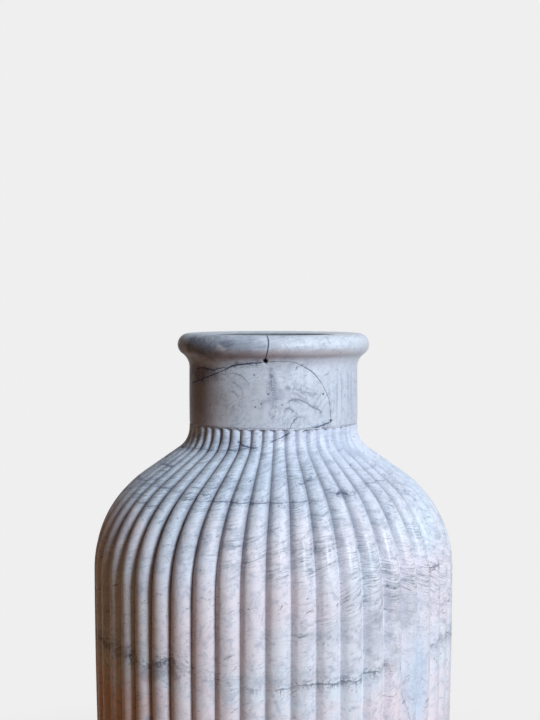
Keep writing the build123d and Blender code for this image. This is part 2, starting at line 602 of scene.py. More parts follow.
@dataclass
class JointFiller:
    """The filler that shows in the joint under the collar, with crumbs squeezed out of it."""

    inner_radius: float = 31.2
    outer_radius: float = 34.95
    low_z: float = 197.5
    high_z: float = 198.0
    columns: int = 480
    ragged: float = 0.16
    ragged_from: float = 32.5
    ragged_waves: tuple[Point, ...] = ((420.0, 1.0), (1300.0, 0.5))
    # Crumbs sit over the groove tops, and some of them are left out
    crumb_count: int = 48
    crumb_radius: float = 34.45
    crumb_size: float = 0.42
    crumb_lift: float = 0.05
    crumb_share: float = 0.55
    first_crumb: float = -85.0
    least_stretch: Triple = (0.45, 0.45, 0.35)
    most_stretch: Triple = (1.5, 0.95, 0.8)
    full_turn: Triple = (6.28, 6.28, 6.28)
    seed: int = 11

    def squeeze_out(self, ring: Object, material: Material) -> None:
        """Add the crumbs to the ring of filler."""
        recipe = GeometryRecipe("squeeze_out")
        bench = recipe.bench
        read = recipe.sizes(count=self.crumb_count, pitch=self.crumb_radius * MM, size=self.crumb_size * MM,
                            height=(self.low_z + self.crumb_lift) * MM, seed=self.seed)
        round_line = bench.run("GeometryNodeMeshCircle", {"Vertices": read.count, "Radius": read.pitch})
        lifted = bench.run("GeometryNodeTransform", {
            "Geometry": round_line, "Translation": bench.join(0.0, 0.0, read.height),
            "Rotation": (0.0, 0.0, math.radians(self.first_crumb))})
        crumb = bench.run("GeometryNodeMeshIcoSphere", {"Radius": read.size, "Subdivisions": 2})
        draw = "FunctionNodeRandomValue"
        kept = bench.run(draw, {"Probability": self.crumb_share, "Seed": read.seed}, "Value",
                         data_type="BOOLEAN")
        turn = bench.run(draw, {1: self.full_turn, "Seed": read.seed}, data_type="FLOAT_VECTOR")
        stretch = bench.run(draw, {0: self.least_stretch, 1: self.most_stretch, "Seed": read.seed},
                            data_type="FLOAT_VECTOR")
        spread = bench.run("GeometryNodeInstanceOnPoints", {
            "Points": lifted, "Selection": kept, "Instance": crumb, "Rotation": turn, "Scale": stretch})
        both = bench.node("GeometryNodeJoinGeometry", (recipe.geometry,))
        bench.feed(both, {0: spread})
        recipe.make(Wire(bench, both.outputs[0]), ring, material)

    def build(self, material: Material) -> Object:
        """Turn the ring with a ragged outer edge and add its crumbs."""
        pen = SectionPen(self.inner_radius, self.low_z)
        pen.line(self.outer_radius, self.low_z, steps=3).line(self.outer_radius, self.high_z, steps=2)
        pen.line(self.inner_radius, self.high_z, steps=3)
        mesh = turned_mesh("joint_filler_ring", pen.points, even_angles(self.columns))
        inner = self.ragged_from * MM
        roughen(mesh, self.ragged, self.ragged_waves, lambda place: math.hypot(place.x, place.y) > inner)
        ring = add_object("joint_filler_ring", mesh)
        self.squeeze_out(ring, material)
        return ring


@dataclass
class FeltFeet:
    """Four felt pads under the foot."""

    count: int = 4
    radius: float = 6.0
    height: float = 2.0
    pitch_radius: float = 49.084
    top_round: float = 0.6
    low_round: float = 0.5
    columns: int = 72
    fuzz: float = 0.12
    fuzz_scale: float = 1800.0
    fuzz_heights: Point = (0.2, 1.9)

    def set_round(self, pads: Object, material: Material) -> None:
        """Set one pad at each place round the foot."""
        recipe = GeometryRecipe("ring_of_pads")
        bench = recipe.bench
        read = recipe.sizes(count=self.count, pitch=self.pitch_radius * MM)
        ring = bench.run("GeometryNodeMeshCircle", {"Vertices": read.count, "Radius": read.pitch})
        spread = bench.run("GeometryNodeInstanceOnPoints", {"Points": ring, "Instance": recipe.geometry})
        recipe.make(spread, pads, material)

    def build(self, material: Material) -> Object:
        """Make one rounded, slightly fuzzy pad and repeat it."""
        top, low = self.top_round, self.low_round
        pen = SectionPen(0.0, self.height)
        pen.line(self.radius - top, self.height, steps=6)
        pen.arc((self.radius - top, self.height - top), top, 90.0, 0.0, steps=4)
        pen.line(self.radius, low)
        pen.arc((self.radius - low, low), low, 0.0, -90.0, steps=4)
        pen.line(0.0, 0.0, steps=6)
        mesh = turned_mesh("felt_feet", pen.points, even_angles(self.columns))
        lowest, highest = (height * MM for height in self.fuzz_heights)
        roughen(mesh, self.fuzz, ((self.fuzz_scale, 1.0),), lambda place: lowest < place.z < highest)
        pads = add_object("felt_feet", mesh)
        self.set_round(pads, material)
        return pads


class Tone(Enum):
    """Pigments of the cast, and painted shades, a painted highlight and a painted reflection, as display
    colours.
    """

    SLATE = (46, 60, 96)
    GREY = (104, 117, 143)
    BLUE = (203, 217, 238)
    ROSE = (235, 217, 226)
    # A painted warm reflection, umber for painted warm shade that is partly pigment under the bead, and
    # brown for stains and painted shade
    OCHRE = (208, 156, 106)
    UMBER = (158, 130, 122)
    BROWN = (96, 72, 58)
    PALE = (222, 232, 246)
    MIST = (194, 203, 218)
    PLUME = (156, 167, 190)
    MOTTLE = (158, 169, 192)
    SMEAR = (152, 164, 180)
    WISP = (106, 119, 138)
    LINE = (98, 110, 130)
    FLECK = (66, 76, 100)
    STRAY = (78, 88, 110)
    SPECK = (62, 68, 84)
    DRIP = (140, 153, 172)
    FLOW = (116, 124, 142)
    HOLE = (40, 38, 40)
    # Painted shade in the grooves, dust with painted shade, a painted highlight on the reed edges and
    # painted shade in the bore
    PATINA = (120, 96, 98)
    DUST = (110, 118, 138)
    RUBBED = (240, 244, 250)
    BORE = (58, 55, 56)
    PIT = (26, 25, 28)

    @property
    def color(self) -> tuple[float, float, float, float]:
        """Give the pigment as a colour for a socket."""
        return rgb(*self.value)


@dataclass(frozen=True)
class Vein:
    """A mineral vein, as points in degrees round the vase and millimetres up it.

    Args:
        points: Places along the vein, degrees to the right of the front and height.
        width: Half width of its dark core, in millimetres.
        feather: How far its grey edge reaches, in millimetres.
        strength: How dark its core is, from 0 to 1.
        halo: How dark its feathered edge is, from 0 to 1.
        jitter: How far it wavers, in millimetres.
        turn: Degrees by which the vein is turned before it is traced.
        ends: Share of its length over which it fades out.
        fringe: How dark the ticks are that hang from it, from 0 to 1.
        breaks: How far it is broken up, from 0 to 1.
    """

    points: tuple[Point, ...]
    width: float
    feather: float
    strength: float
    halo: float
    jitter: float
    turn: float
    ends: float
    fringe: float = 0.0
    breaks: float = 0.0


@dataclass(frozen=True)
class Blot:
    """A soft patch on the vase.

    Args:
        azimuth: Degrees of its middle to the right of the front.
        height: Height of its middle, in millimetres.
        side: Reach to each side, in millimetres.
        up: Reach up and down, in millimetres.
        strength: How strong it is, from -1 to 1.
        ragged: How far its edge is torn, from 0 upwards.
        tone: Colour of a coloured patch; most are pigments, some painted shade or a painted reflection.
    """

    azimuth: float
    height: float
    side: float
    up: float
    strength: float
    ragged: float
    tone: Tone = Tone.GREY


class MarbleGroups:
    """Shader groups that the cast finishes share, each built once."""

    KINDS = {"vector": "NodeSocketVector", "cool": "NodeSocketColor", "rose": "NodeSocketColor",
             "mist": "NodeSocketColor", "color": "NodeSocketColor"}

    def __init__(self) -> None:
        """Build every group."""
        self.polar = self.build_polar()
        self.frame = self.build_frame()
        self.line = self.build_line()
        self.patch = self.build_patch()
        self.layers = self.build_layers()
        self.flow = self.build_flow()
        self.clouds = self.build_clouds()
        self.holes = self.build_holes()

    def begin(self, name: str, takes: str, gives: str) -> tuple[NodeBench, SimpleNamespace]:
        """Open a group with named sockets.

        Args:
            name: Name of the group.
            takes: Names of its inputs, with spaces between.
            gives: Names of its outputs, with spaces between.

        Returns:
            The bench, and the group's inputs by name.
        """
        tree = bpy.data.node_groups.new(name, "ShaderNodeTree")
        for way, labels in (("INPUT", takes), ("OUTPUT", gives)):
            for label in labels.split():
                kind = self.KINDS.get(label, "NodeSocketFloat")
                tree.interface.new_socket(label, in_out=way, socket_type=kind)
        bench = NodeBench(tree)
        return bench, bench.outlets(bench.node("NodeGroupInput"))

    def build_polar(self) -> NodeTree:
        """Build the group that gives the angle from the front, the height and the radius."""
        bench, read = self.begin("vase_polar", "vector", "azimuth height radius")
        x, y, z = bench.parts(read.vector)
        return bench.give(azimuth=bench.math("ARCTAN2", x, y * -1.0), height=z,
                          radius=bench.math("SQRT", x * x + y * y))

    def build_frame(self) -> NodeTree:
        """Build the group that measures along and across a vein's own direction."""
        bench, read = self.begin("vein_frame", "azimuth height round turn start stop", "along across")
        flat = bench.join(read.azimuth * read.round, read.height, 0.0)
        spun = bench.run("ShaderNodeVectorRotate", {"Vector": flat, "Angle": read.turn},
                         rotation_type="Z_AXIS")
        along, across, _ = bench.parts(spun)
        share = bench.run("ShaderNodeMapRange", (along, read.start, read.stop), clamp=True)
        return bench.give(along=share, across=across)

    def build_line(self) -> NodeTree:
        """Build the group that draws a vein's core, feathered edge and fringe beside its path."""
        takes = "along across path low high waver swell torn ticks jitter width feather ends breaks"
        bench, read = self.begin("vein_line", takes, "core halo fringe")
        path = read.path * (read.high - read.low) + read.low
        above = read.across + read.waver * (read.jitter * 4.0) - path
        off = bench.math("ABSOLUTE", above)
        near = bench.math("MINIMUM", read.along, 1.0 - read.along)
        gaps = read.breaks * bench.ramp(read.swell, 0.40, 0.58, 1.0, 0.0)
        fade = bench.ramp(near, 0.0, read.ends) * (1.0 - gaps)
        width = read.width * bench.ramp(read.swell, 0.3, 0.7, 0.35, 1.5)
        core = bench.ramp(off, width * 0.35, width, 1.0, 0.0)
        halo = bench.ramp(off, 0.0, read.feather, 1.0, 0.0) * bench.ramp(read.torn, 0.48, 0.58)
        hang = read.feather * bench.ramp(read.ticks, 0.46, 0.62, 0.0, 1.2)
        drop = bench.ramp(above * -1.0, 0.0, hang, 1.0, 0.0)
        inside = bench.ramp(above, -0.1 * MM, 0.6 * MM, 1.0, 0.0)
        return bench.give(core=core * fade, halo=halo * fade, fringe=drop * inside * fade)

    def build_patch(self) -> NodeTree:
        """Build the group that lays one soft patch at a place on the vase."""
        takes = "azimuth height radius torn centre level side up ragged"
        bench, read = self.begin("soft_patch", takes, "mask")
        turn = bench.math("WRAP", read.azimuth - read.centre, math.pi, -math.pi)
        side = turn * read.radius / read.side
        up = (read.height - read.level) / read.up
        off = bench.math("SQRT", side * side + up * up) + read.torn * (read.ragged * 3.0)
        return bench.give(mask=bench.ramp(off, 0.3, 1.0, 1.0, 0.0))

    def build_layers(self) -> NodeTree:
        """Build the group that draws the fine poured layers, cut by the reeds into arcs."""
        takes = "vector sag length fineness lines drift seed"
        bench, read = self.begin("layer_streaks", takes, "wisps lines smears bands")
        x, y, z = bench.parts(read.vector)
        drift = bench.grain(read.vector, 24.0, seed=read.seed) - 0.5
        fold = bench.grain(read.vector, 150.0, swirl=0.3, seed=read.seed) - 0.5
        level = drift * read.drift + (z - read.sag)
        level = fold * (read.drift * 0.075) + level
        flat = bench.join(x, y, level * read.fineness)
        broad = bench.join(x, y, level * (read.fineness * 0.55))
        coarse = bench.join(x, y, level * 6.0)
        fine = bench.grain(flat, read.length, 6.0, 0.62, 0.15, read.seed)
        wander = bench.grain(flat, read.length * 0.4, 3.0, 0.55, 0.2, read.seed)
        broken = bench.grain(flat, read.length * 0.55, 3.0, 0.6, seed=read.seed + 1.0)
        smears = bench.grain(broad, read.length * 0.42, 4.0, 0.58, 0.4, read.seed + 5.0)
        bands = bench.grain(coarse, 12.0, seed=read.seed + 3.0)
        crest = bench.math("PINGPONG", level * read.lines + wander * 3.0, 0.5) * 2.0
        lines = bench.ramp(crest, 0.66, 0.98) * bench.ramp(broken, 0.44, 0.64)
        return bench.give(wisps=bench.ramp(fine, 0.50, 0.66), lines=lines,
                          smears=bench.ramp(smears, 0.46, 0.72), bands=bench.ramp(bands, 0.36, 0.66))

    def build_flow(self) -> NodeTree:
        """Build the group that draws swirling flow lines."""
        bench, read = self.begin("flow_lines", "vector scale lines swirl seed", "mask")
        stream = bench.grain(read.vector, read.scale, 1.5, 0.4, read.swirl, read.seed)
        crest = bench.math("PINGPONG", stream * read.lines, 0.5) * 2.0
        broken = bench.grain(read.vector, read.scale * 2.5, 3.0, 0.6, seed=read.seed)
        return bench.give(mask=bench.ramp(crest, 0.3, 1.0) * bench.ramp(broken, 0.36, 0.66))

    def build_clouds(self) -> NodeTree:
        """Build the group that clouds the cool ground with rose and pale grey."""
        bench, read = self.begin("mineral_clouds", "vector cool rose mist scale seed", "color")
        wide = bench.grain(read.vector, read.scale, 3.0, 0.55, 0.5, read.seed)
        haze = bench.grain(read.vector, read.scale * 2.3, 4.0, 0.6, 0.8, read.seed + 2.0)
        ground = bench.tint(bench.ramp(wide, 0.40, 0.66), read.cool, read.rose)
        return bench.give(color=bench.tint(bench.ramp(haze, 0.50, 0.78, 0.0, 0.5), ground, read.mist))

    def build_holes(self) -> NodeTree:
        """Build the group that scatters small dark air holes."""
        bench, read = self.begin("air_holes", "vector scale size share", "mask")
        fed = {"Vector": read.vector, "Scale": read.scale}
        cells = bench.outlets(bench.node("ShaderNodeTexVoronoi", fed))
        pick, size, _ = bench.parts(cells.Color)
        reach = read.size * (size * 0.8 + 0.5)
        dot = bench.ramp(cells.Distance, reach * 0.6, reach, 1.0, 0.0)
        return bench.give(mask=dot * bench.math("LESS_THAN", pick, read.share))


@dataclass
class MarbledCast:
    """The waxed, marbled mineral casting of the body, collar and plug.

    Args:
        name: Name of the material.
        groups: The shared shader groups.
        veins: Veins that are traced on this piece.
        round_radius: Radius at which a vein's degrees are turned into a length, in millimetres.
        cool: Colour of its cool ground.
        rose: Colour of its rose ground.
        stains: Coloured patches of pigment, with painted shade and a painted warm reflection among them.
        layered: Places where the poured layers show more, or less where the strength is below 0.
        speckled: Places with fine dark grains.
        drips: Places with upright streaks.
        swirls: Places with flow lines.
        streak: How strong its poured layers are everywhere, from 0 to 1.
        calm_below: Height below which the layers hardly show, in millimetres.
        groove: Whether the piece carries the groove attribute.
        pit: Whether the piece carries the pit attribute; such a piece also gets painted shade in its bore.
        seed: Seed of its clouds and layers.
    """

    name: str
    groups: MarbleGroups
    veins: tuple[Vein, ...] = ()
    round_radius: float = 60.0
    cool: Color = (214, 226, 241)
    rose: Color = (230, 225, 237)
    stains: tuple[Blot, ...] = ()
    layered: tuple[Blot, ...] = ()
    speckled: tuple[Blot, ...] = ()
    drips: tuple[Blot, ...] = ()
    swirls: tuple[Blot, ...] = ()
    streak: float = 0.25
    calm_below: float = 0.0
    groove: bool = False
    pit: bool = False
    seed: float = 2.0

    # Between these places an effect comes in or goes, in metres right of the axis
    SAG_SIDE = (0.028, 0.046)
    # The next four set where painted groove shade, dust with painted shade and the painted edge highlight
    # lie
    SETTLED_SIDE = (-0.01, 0.03)
    SHADED_SIDE = (-0.045, -0.015)
    DUSTY_SIDE = (-0.05, -0.02)
    RUBBED_SIDE = (-0.01, 0.045)
    WAXED_SIDE = (-0.015, 0.02)
    # The same in metres up from the floor, and from the axis
    DUST_BEGINS = (0.146, 0.166)
    DUST_ENDS = (0.178, 0.194)
    BORE_EDGE = (0.0252, 0.0262)
    # Millimetres below and above the calm height over which the layers come in
    CALM_EDGE = (-6.0, 5.0)
    # Room under and over a vein's path in its curve, in millimetres
    PATH_ROOM = 0.5

    def __post_init__(self) -> None:
        """Open the material with the places and torn noises that all its marks read."""
        self.material, self.bench, self.shader = open_material(self.name)
        bench = self.bench
        self.spot = bench.run("ShaderNodeTexCoord", out="Object")
        self.x, self.y, self.z = bench.parts(self.spot)
        self.polar = bench.group(self.groups.polar, vector=self.spot)
        self.waver = bench.grain(self.spot, 200.0, 5.0, 0.68) - 0.5
        self.swell = bench.grain(self.spot, 95.0, 3.0, 0.6, seed=5.0)
        self.torn = bench.grain(self.spot, 600.0, 4.0, 0.68, 0.8, 9.0)
        self.edge = bench.grain(self.spot, 130.0, 5.0, 0.65, 0.4, 3.0) - 0.5
        self.ticks = bench.grain(self.stretched(0.12), 560.0, 3.0, 0.65, seed=4.0)

    def stretched(self, rise: float = 1.0, tilt: float = 0.0) -> Wire:
        """Give the place with its height tilted to the side and then scaled."""
        height = self.x * tilt + self.z if tilt else self.z
        return self.bench.join(self.x, self.y, height if rise == 1.0 else height * rise)

    def carried(self, name: Coord) -> Wire:
        """Give an attribute of the mesh."""
        return self.bench.run("ShaderNodeAttribute", out="Fac", attribute_name=name.value)

    def trace(self, vein: Vein) -> Wire:
        """Place the nodes of one vein and give how dark it is."""
        bench = self.bench
        turn = math.radians(vein.turn)
        places = []
        for degrees, height in vein.points:
            side = math.radians(degrees) * self.round_radius
            places.append((side * math.cos(turn) - height * math.sin(turn),
                           side * math.sin(turn) + height * math.cos(turn)))
        places.sort()
        start, stop = places[0][0], places[-1][0]
        low = min(place[1] for place in places) - self.PATH_ROOM
        high = max(place[1] for place in places) + self.PATH_ROOM
        frame = bench.group(self.groups.frame, azimuth=self.polar.azimuth, height=self.polar.height,
                            round=self.round_radius * MM, turn=turn, start=start * MM, stop=stop * MM)
        path = bench.node("ShaderNodeFloatCurve", {"Value": frame.along})
        curve = path.mapping.curves[0]
        marks = [((along - start) / (stop - start), (across - low) / (high - low))
                 for along, across in places]
        curve.points[0].location = marks[0]
        curve.points[1].location = marks[-1]
        for mark in marks[1:-1]:
            curve.points.new(*mark)
        for point in curve.points:
            point.handle_type = "AUTO_CLAMPED"
        path.mapping.update()
        drawn = bench.group(self.groups.line, along=frame.along, across=frame.across,
                            path=Wire(bench, path.outputs[0]), low=low * MM, high=high * MM,
                            waver=self.waver, swell=self.swell, torn=self.torn, ticks=self.ticks,
                            jitter=vein.jitter * MM, width=vein.width * MM, feather=vein.feather * MM,
                            ends=vein.ends, breaks=vein.breaks)
        dark = bench.math("MAXIMUM", drawn.core * vein.strength, drawn.halo * vein.halo)
        if vein.fringe:
            dark = bench.math("MAXIMUM", dark, drawn.fringe * vein.fringe)
        return dark

    def patch(self, blot: Blot) -> Wire:
        """Place the nodes of one soft patch and give its mask, scaled by its strength."""
        made = self.bench.group(self.groups.patch, azimuth=self.polar.azimuth, height=self.polar.height,
                                radius=self.polar.radius, torn=self.edge, centre=math.radians(blot.azimuth),
                                level=blot.height * MM, side=blot.side * MM, up=blot.up * MM,
                                ragged=blot.ragged)
        return made.mask * blot.strength

    def gather(self, start: Feed, blots: tuple[Blot, ...]) -> Wire:
        """Add up the masks of some patches on a starting value, kept from 0 to 1."""
        total = start
        for blot in blots:
            total = self.patch(blot) + total
        return self.bench.run("ShaderNodeClamp", (total,))

    def lay_ground(self) -> Wire:
        """Lay the clouded ground with its coloured patches."""
        bench = self.bench
        color = bench.group(self.groups.clouds, vector=self.spot, cool=rgb(*self.cool),
                            rose=rgb(*self.rose), mist=Tone.MIST.color, scale=16.0, seed=self.seed).color
        for blot in self.stains:
            color = bench.tint(self.patch(blot), color, blot.tone.color)
        return color

    def lay_layers(self, color: Wire) -> Wire:
        """Draw the poured layers over the ground, with their clouds and dark flecks."""
        bench, seed = self.bench, self.seed
        sag: Feed = 0.0
        if self.groove:
            across = self.carried(Coord.GROOVE)
            sag = across * across * bench.ramp(self.x, *self.SAG_SIDE, 0.0, 2.8 * MM)
        tilted = self.stretched(tilt=-0.2)
        drawn = bench.group(self.groups.layers, vector=tilted, sag=sag, length=160.0, fineness=14.0,
                            lines=900.0, drift=0.016, seed=seed)
        plumes = bench.grain(self.stretched(0.6), 230.0, 6.0, 0.76, 1.0, seed + 4.0)
        color = bench.tint(bench.ramp(plumes, 0.47, 0.68, 0.0, 0.5), color, Tone.PLUME.color)
        mottle = bench.grain(self.stretched(1.7), 170.0, 6.0, 0.68, 1.4, seed + 6.0)
        color = bench.tint(bench.ramp(mottle, 0.49, 0.68, 0.0, 0.5), color, Tone.MOTTLE.color)
        density = self.gather(drawn.bands * (self.streak * 2.0), self.layered)
        patchy = bench.grain(tilted, 42.0, 3.0, 0.6, 0.5, seed + 7.0)
        density = density * bench.ramp(patchy, 0.38, 0.60, 0.5, 1.1)
        if self.calm_below:
            low, high = ((self.calm_below + off) * MM for off in self.CALM_EDGE)
            density = density * bench.ramp(self.edge * 0.02 + self.polar.height, low, high, 0.12, 1.0)
        for marks, strength, tone in ((drawn.smears, 0.8, Tone.SMEAR), (drawn.wisps, 0.85, Tone.WISP),
                                      (drawn.lines, 0.55, Tone.LINE)):
            color = bench.tint(marks * density * strength, color, tone.color)
        flecks = bench.ramp(bench.grain(self.spot, 620.0, 4.0, 0.72, 0.5, seed), 0.52, 0.64)
        color = bench.tint(flecks * (density * drawn.smears) * 0.9, color, Tone.FLECK.color)
        strays = bench.grain(self.stretched(2.2, -0.45), 330.0, 5.0, 0.72, 0.9, seed + 2.0)
        return bench.tint(bench.ramp(strays, 0.57, 0.70, 0.0, 0.75), color, Tone.STRAY.color)

    def lay_marks(self, color: Wire) -> Wire:
        """Draw the fine grains, the upright streaks, the flow lines and the veins."""
        bench, seed = self.bench, self.seed
        if self.speckled:
            grains = bench.ramp(bench.grain(self.spot, 1900.0, 4.0, 0.75, seed=seed), 0.48, 0.70)
            color = bench.tint(grains * self.gather(0.0, self.speckled), color, Tone.SPECK.color)
        if self.drips:
            upright = bench.group(self.groups.layers, vector=self.spot, sag=0.0, length=1100.0,
                                  fineness=0.07, lines=0.0, drift=0.0, seed=seed + 1.0)
            color = bench.tint(upright.smears * self.gather(0.0, self.drips), color, Tone.DRIP.color)
        if self.swirls:
            flow = bench.group(self.groups.flow, vector=self.spot, scale=40.0, lines=15.0, swirl=0.9,
                               seed=seed)
            color = bench.tint(flow.mask * self.gather(0.0, self.swirls), color, Tone.FLOW.color)
        if self.veins:
            dark = self.trace(self.veins[0])
            for vein in self.veins[1:]:
                dark = bench.math("MAXIMUM", dark, self.trace(vein))
            color = bench.tint(dark, color, Tone.SLATE.color)
        return color

    def age_reeds(self, color: Wire) -> Wire:
        """Paint shade in the grooves, mostly on the left, dust and shade in the shoulder grooves and a
        highlight along the reeds' right edges.
        """
        bench, x, height = self.bench, self.x, self.polar.height
        across = self.carried(Coord.GROOVE)
        # Painted shade in the grooves, stronger on the shaded left and almost gone on the lit right
        painted_groove_shade = bench.ramp(across, 0.8, 1.0, 0.0, 0.3) * bench.ramp(x, *self.SETTLED_SIDE, 1.0, 0.1)
        painted_groove_shade = painted_groove_shade * bench.ramp(x, *self.SHADED_SIDE, 2.3, 1.0)
        color = bench.tint(painted_groove_shade, color, Tone.PATINA.color)
        # Dust and painted shade in the shoulder grooves, stronger on the left
        shoulder = bench.ramp(height, *self.DUST_BEGINS) * bench.ramp(height, *self.DUST_ENDS, 1.0, 0.0)
        dust_and_shade = bench.ramp(across, 0.5, 1.0, 0.0, 0.55) * shoulder
        dust_and_shade = dust_and_shade * bench.ramp(x, *self.DUSTY_SIDE, 1.5, 1.0)
        color = bench.tint(dust_and_shade, color, Tone.DUST.color)
        # Painted highlight along the right edge of each reed, strong on the lit right side and faint on the
        # left
        painted_edge_highlight = self.carried(Coord.LIP) * bench.ramp(x, *self.RUBBED_SIDE, 0.06, 0.55)
        return bench.tint(painted_edge_highlight, color, Tone.RUBBED.color)

    def build(self) -> Material:
        """Build the material and give it."""
        bench = self.bench
        color = self.lay_marks(self.lay_layers(self.lay_ground()))
        holes = bench.group(self.groups.holes, vector=self.spot, scale=95.0, size=0.036, share=0.13).mask
        color = bench.tint(holes * 0.8, color, Tone.HOLE.color)
        if self.groove:
            color = self.age_reeds(color)
        if self.pit:
            # Painted shade inside the bore
            inside = bench.ramp(self.polar.radius, *self.BORE_EDGE, 0.8, 0.0)
            color = bench.tint(inside, color, Tone.BORE.color)
            color = bench.tint(self.carried(Coord.PIT), color, Tone.PIT.color)
        rub = bench.grain(self.spot, 240.0, 3.0, 0.6, seed=self.seed)
        skin = bench.grain(self.spot, 420.0, 4.0, 0.6, seed=self.seed)
        relief = bench.run("ShaderNodeBump", {"Strength": 0.25, "Distance": 0.4 * MM,
                                              "Height": skin * 0.6 + holes * -1.4}, "Normal")
        # The wax shines on the right half only, where the window lights it
        bench.feed(self.shader, {
            "Base Color": color, "Roughness": bench.ramp(rub, 0.25, 0.75, 0.3, 0.42), "Normal": relief,
            "Specular IOR Level": 0.012, "Coat Weight": bench.ramp(self.x, *self.WAXED_SIDE, 0.0, 0.4),
            "Coat Roughness": 0.3})
        return self.material


# Each vein: points, width, feather, strength, halo, jitter, turn, ends, fringe and breaks
# Each patch: azimuth, height, side, up, strength, ragged and tone
NECK_VEINS = (
    Vein(((-5.1, 236), (-3, 232.2), (-3.3, 229.5), (-4.7, 226.2), (-5.2, 225)), 0.28, 0.7, 0.9, 0.2, 0.12,
         90, 0.03),
    Vein(((-4.6, 224.6), (4.1, 224.8), (13.7, 224.2), (20.7, 222.3), (28, 219.2), (32.6, 215.9),
         (36.6, 212.2), (39.2, 208.6), (40.1, 204.9), (41, 200.5)), 0.26, 1.2, 0.9, 0.15, 0.08, 45, 0.03),
    Vein(((-72.3, 214.7), (-57.9, 216.5), (-44.4, 218.9), (-32.4, 221.5), (-25.3, 223.2), (-14.9, 223.9),
         (-5.9, 224.6)), 0.36, 2.6, 0.9, 0.6, 0.35, 0, 0.03),
    Vein(((-65.7, 220.7), (-51.6, 221.5), (-43.5, 220.9), (-35.5, 222.1), (-29.2, 222.4)), 0.4, 2.2, 0.75,
         0.6, 0.4, 0, 0.15),
    Vein(((-3.4, 223.8), (-2.2, 221), (-1.2, 218.3), (-0.9, 215.1), (0.4, 211.2)), 0.2, 2, 0.35, 0.45, 0.3,
         90, 0.2),
    Vein(((36.6, 217), (39.2, 212.2), (41, 206.9), (41.9, 201.2)), 0.2, 0.9, 0.4, 0.2, 0.2, 90, 0.2),
    Vein(((42.8, 214.5), (43.7, 208.8), (42.8, 202.8)), 0.18, 0.8, 0.35, 0.2, 0.2, 90, 0.2),
    Vein(((3.6, 214.7), (12, 213.9), (19.4, 212.6), (27.3, 211.7), (33.4, 211.1)), 0.5, 2.4, 0.28, 0.45,
         0.7, 0, 0.2),
    Vein(((6.8, 205.2), (8.8, 208.4), (14, 209.7), (20.1, 208.6), (25.8, 206.5), (31, 205.2), (35, 201.9)),
         0.6, 2.2, 0.5, 0.5, 0.3, 0, 0.12),
    Vein(((4.9, 200.1), (6.8, 204), (8.8, 206.4), (12.7, 205.2), (16.7, 202.7)), 0.5, 2, 0.6, 0.5, 0.3, 0,
         0.12),
    Vein(((6.2, 194.9), (8.1, 196.1), (10.1, 198), (12.7, 200.8), (15.4, 202.3)), 0.42, 2, 0.9, 0.6, 0.4, 0,
         0.05),
    Vein(((18.1, 196.7), (23.7, 197.4), (30.3, 198.4), (35.9, 199.5), (41, 200.5)), 0.36, 2, 0.9, 0.65,
         0.35, 0, 0.04),
    Vein(((-31.9, 219.8), (-24.4, 219.6), (-19.8, 218.3), (-16.6, 216.1), (-16.4, 212.7)), 0.4, 1.4, 0.4,
         0.3, 0.2, 45, 0.2),
    Vein(((-29.9, 216.2), (-25.6, 215.9), (-22.1, 214.3), (-20.3, 212.1), (-19.8, 210.1)), 0.4, 1.4, 0.4,
         0.3, 0.2, 45, 0.2),
    Vein(((-30.3, 212.7), (-26.9, 212.6), (-24.4, 211.3), (-23.9, 209.3)), 0.4, 1.4, 0.4, 0.3, 0.2, 45,
         0.2),
    Vein(((1.7, 220.6), (10.7, 218.2), (20.8, 214.6), (30.2, 212)), 0.5, 2.2, 0.22, 0.35, 0.8, 0, 0.2, 0,
         0.6),
    Vein(((-1.5, 210.4), (4.2, 213.5), (10.7, 212.7), (18.8, 210.2), (25.8, 206.1), (31.8, 201.2)), 0.6,
         2.4, 0.3, 0.45, 0.7, 0, 0.15, 0, 0.5),
)
NECK_STAINS_AND_SHADES = (
    # Painted shade on the unlit left of the neck: the brown patches at -78 and -84 degrees and the umber
    # patch at -62 degrees; the umber bands under the bead at -34 and 20 degrees are partly pigment and
    # partly painted shade under its overhang; the brown patch at -60 degrees is a stain
    Blot(-78, 212, 28, 24, 0.6, 0.2, Tone.BROWN), Blot(-34, 227.4, 40, 3.4, 0.6, 0.25, Tone.UMBER),
    Blot(-62, 210, 26, 24, 0.25, 0.3, Tone.UMBER), Blot(-84, 230, 16, 9, 0.5, 0.3, Tone.BROWN),
    Blot(20, 227.8, 40, 2.8, 0.4, 0.3, Tone.UMBER), Blot(-46, 231, 16, 6, 0.75, 0.8, Tone.GREY),
    Blot(-17, 230.5, 12, 4, 0.5, 0.9, Tone.GREY), Blot(-60, 219, 19, 5, 0.62, 0.5, Tone.BROWN),
    Blot(-0.6, 214, 2.6, 13, 0.25, 0.9, Tone.GREY), Blot(60, 214, 22, 16, 0.3, 0.5, Tone.BLUE),
    Blot(16, 218, 14, 6, 0.5, 0.5, Tone.PALE), Blot(30, 233, 40, 4, 0.5, 0.5, Tone.PALE),
    Blot(34.2, 211.5, 0.7, 0.7, 0.9, 0.1, Tone.SLATE), Blot(-12.6, 219.4, 0.7, 0.5, 0.8, 0.1, Tone.SLATE),
    Blot(-3.5, 211.9, 0.6, 0.6, 0.8, 0.1, Tone.SLATE), Blot(5.5, 207.6, 0.55, 0.55, 0.8, 0.1, Tone.SLATE),
    Blot(-11.9, 206.7, 0.55, 0.55, 0.8, 0.1, Tone.SLATE), Blot(-8, 208, 0.5, 0.5, 0.8, 0.1, Tone.SLATE),
)
